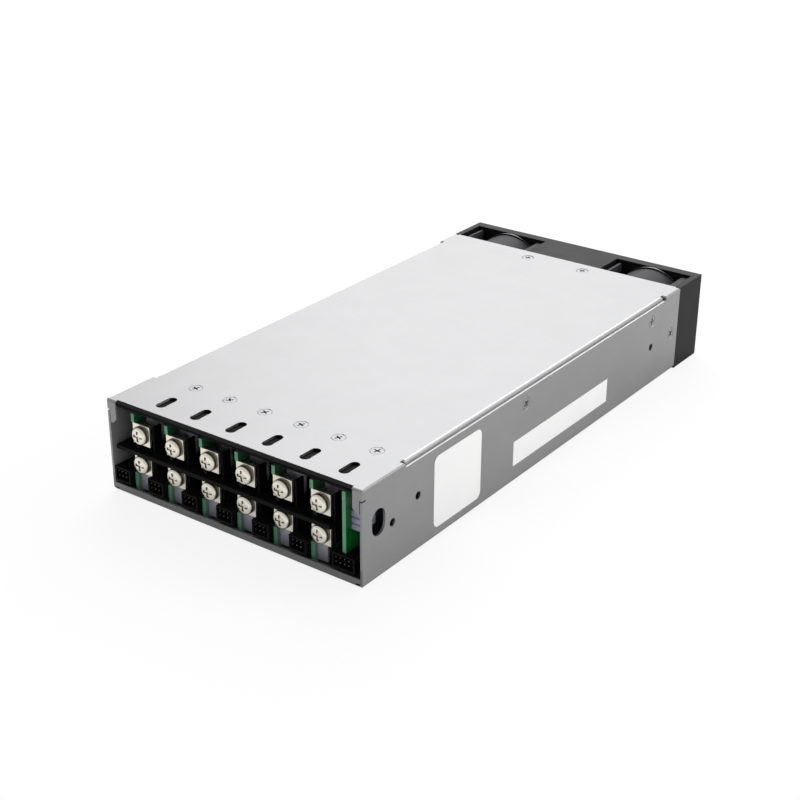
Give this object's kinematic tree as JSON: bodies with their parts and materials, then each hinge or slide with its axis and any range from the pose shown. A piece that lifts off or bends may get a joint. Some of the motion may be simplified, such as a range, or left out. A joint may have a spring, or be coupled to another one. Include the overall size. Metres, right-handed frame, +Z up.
{
  "type": "switching power supply",
  "caption": "Low, flat enclosed switching power supply with plug-in output modules, screw terminals at the front, twin fans and a mains inlet at the rear.",
  "frame": {"origin": "bottom centre of the bounding box, on the underside of the tray", "axes": "+X to the right across the terminal front, +Y from the terminals back to the fans, +Z up"},
  "size_m": [0.1271, 0.2666, 0.041],
  "materials": {
    "plated_steel": "satin zinc-plated sheet steel",
    "tinned_brass": "tin plating over brass",
    "pin_brass": "gold-flashed brass",
    "shaft_steel": "ground steel",
    "black_moulding": "black glass-filled moulding",
    "black_connector": "black connector moulding",
    "black_sheet": "black insulating sheet",
    "circuit_board": "green solder mask over glass epoxy",
    "aluminium_sheet": "plain sheet aluminium",
    "ferrite": "dark grey ferrite",
    "capacitor_sleeve": "shrunk sleeve",
    "grey_connector": "pale grey connector moulding",
    "label_film": "bare white label film"
  },
  "bodies": {
    "supply": {"backplane_board": "circuit_board", "board_posts": "aluminium_sheet", "boost_choke": "ferrite", "bulk_capacitor": "capacitor_sleeve", "chassis": "plated_steel", "control_board": "circuit_board", "control_header": "black_connector", "cover_insulator": "black_sheet", "fan_frame_left": "black_moulding", "fan_frame_right": "black_moulding", "fan_housing": "black_moulding", "header_pins": "pin_brass", "inlet_pins": "pin_brass", "line_filter_choke": "ferrite", "main_board": "circuit_board", "mains_inlet": "black_connector", "module_board_1": "circuit_board", "module_board_2": "circuit_board", "module_board_3": "circuit_board", "module_board_4": "circuit_board", "module_board_5": "circuit_board", "module_board_6": "circuit_board", "module_heat_sink_1": "aluminium_sheet", "module_heat_sink_2": "aluminium_sheet", "module_heat_sink_3": "aluminium_sheet", "module_heat_sink_4": "aluminium_sheet", "module_heat_sink_5": "aluminium_sheet", "module_heat_sink_6": "aluminium_sheet", "module_transformer_1": "ferrite", "module_transformer_2": "ferrite", "module_transformer_3": "ferrite", "module_transformer_4": "ferrite", "module_transformer_5": "ferrite", "module_transformer_6": "ferrite", "output_terminals": "tinned_brass", "power_heat_sink": "aluminium_sheet", "side_connector": "grey_connector", "signal_headers": "black_connector", "square_label": "label_film", "strip_label": "label_film", "terminal_carrier_1": "black_moulding", "terminal_carrier_2": "black_moulding", "terminal_carrier_3": "black_moulding", "terminal_carrier_4": "black_moulding", "terminal_carrier_5": "black_moulding", "terminal_carrier_6": "black_moulding", "terminal_screws": "tinned_brass", "top_cover": "plated_steel"},
    "left_fan": {"fan_rotor_left": "black_moulding", "fan_shaft_left": "shaft_steel"},
    "right_fan": {"fan_rotor_right": "black_moulding", "fan_shaft_right": "shaft_steel"}
  },
  "joints": [
    {"name": "left_fan_spin", "type": "hinge", "parent": "supply", "child": "left_fan", "pos_m": [-0.0405, 0.1, 0.0205], "axis": [0, 1, 0], "continuous": true},
    {"name": "right_fan_spin", "type": "hinge", "parent": "supply", "child": "right_fan", "pos_m": [0.0405, 0.1, 0.0205], "axis": [0, 1, 0], "continuous": true}
  ]
}
